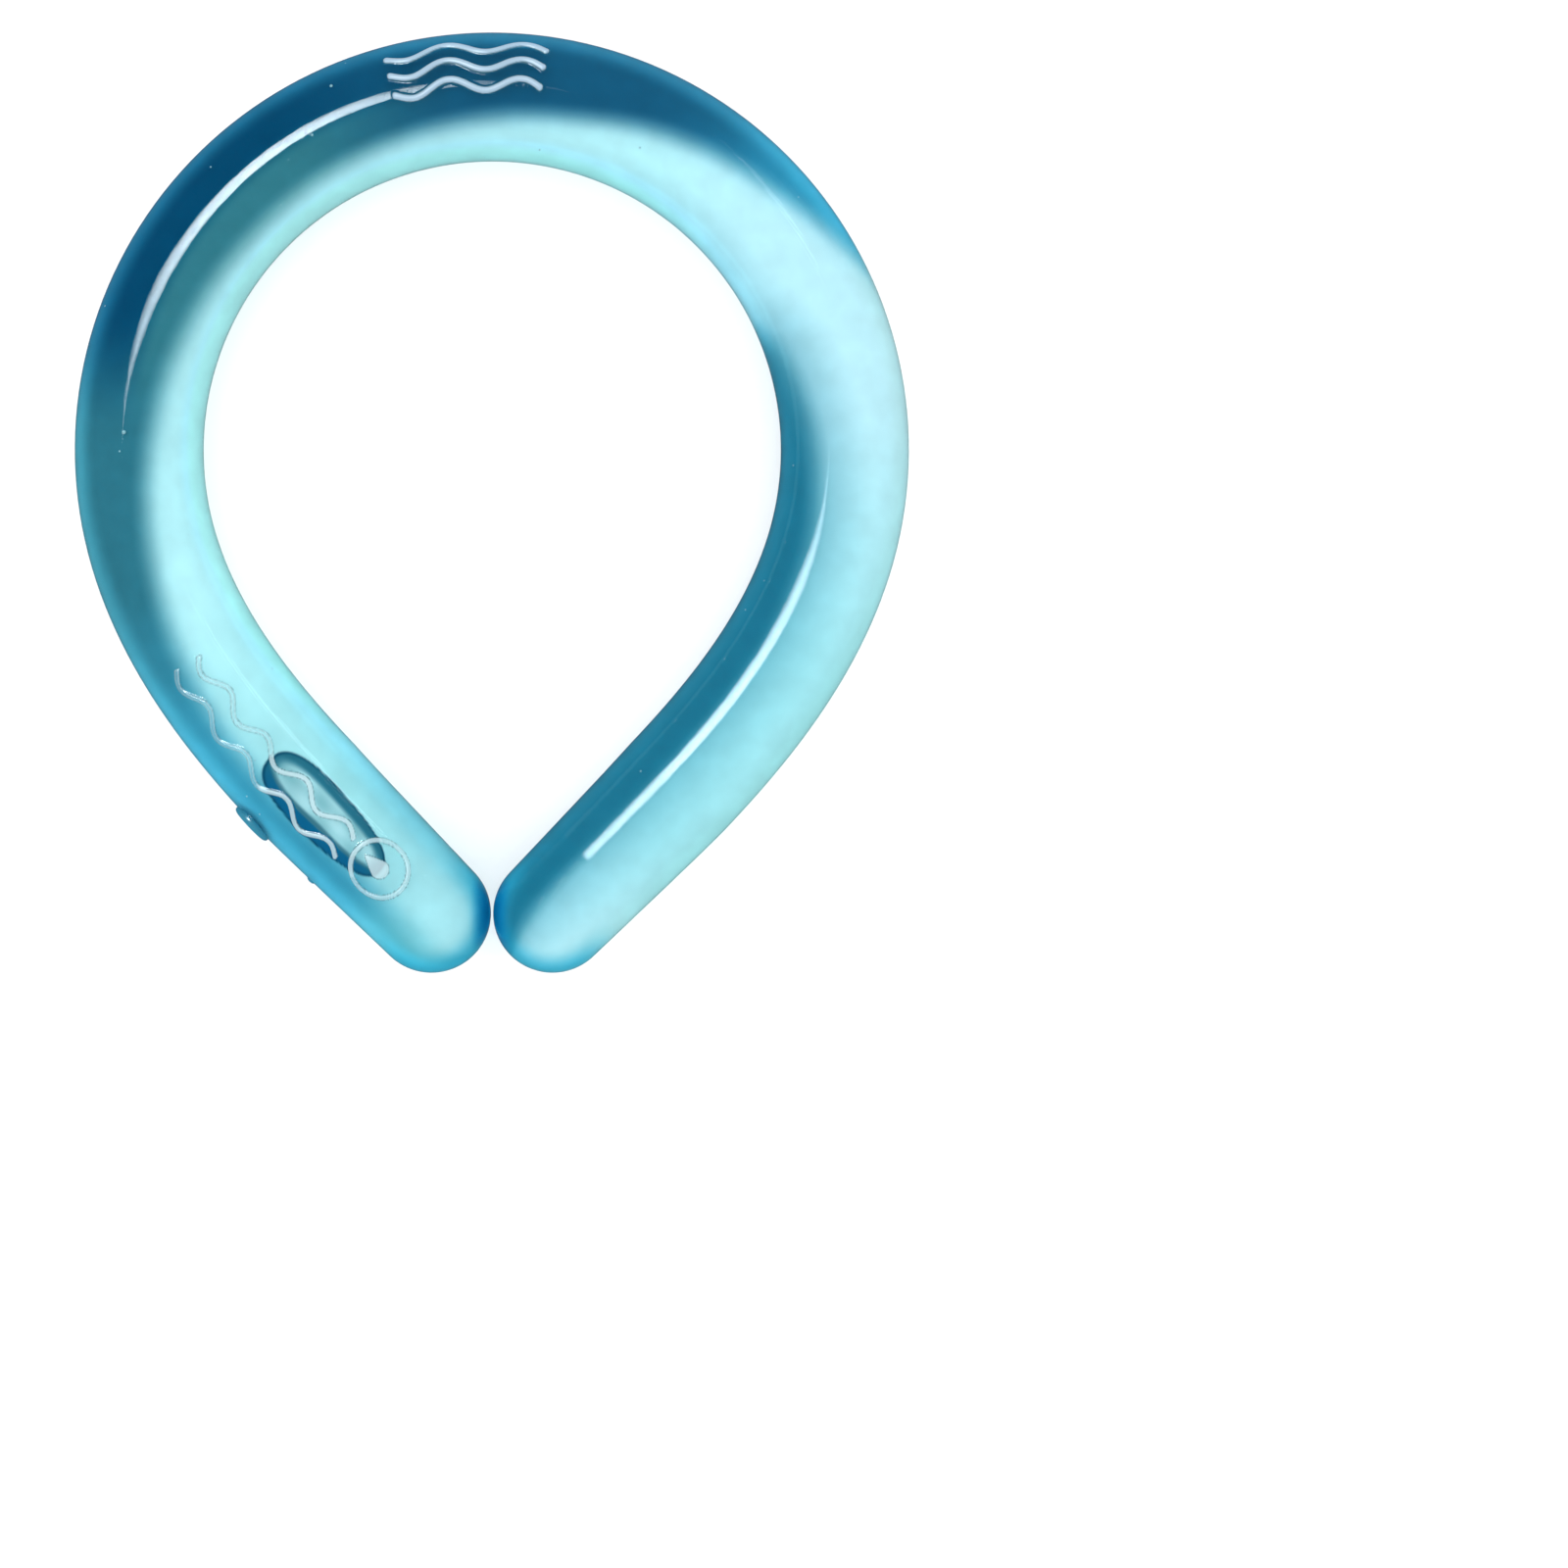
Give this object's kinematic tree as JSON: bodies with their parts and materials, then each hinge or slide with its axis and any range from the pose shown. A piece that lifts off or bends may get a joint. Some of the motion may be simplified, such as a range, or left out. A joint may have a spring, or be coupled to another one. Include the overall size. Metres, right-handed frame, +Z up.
{
  "type": "cooling neck ring",
  "caption": "Soft hollow tube bent into an open ring for the neck, filled with cooling gel, with two round tips that meet and a small fill plug on one limb.",
  "frame": {"origin": "middle of the footprint, on the plane the ring lies on", "axes": "+Z up out of the plane the ring lies on, +Y from the two tips toward the crown that sits behind the neck, +X toward the limb without marks"},
  "size_m": [0.1416, 0.1596, 0.0222],
  "materials": {
    "soft_shell": "glossy translucent soft plastic",
    "cooling_gel": "milky gel",
    "plug": "glossy soft plastic"
  },
  "bodies": {
    "root": {"tube_shell": "soft_shell", "cooling_gel": "cooling_gel", "fill_plug": "plug"}
  },
  "joints": []
}
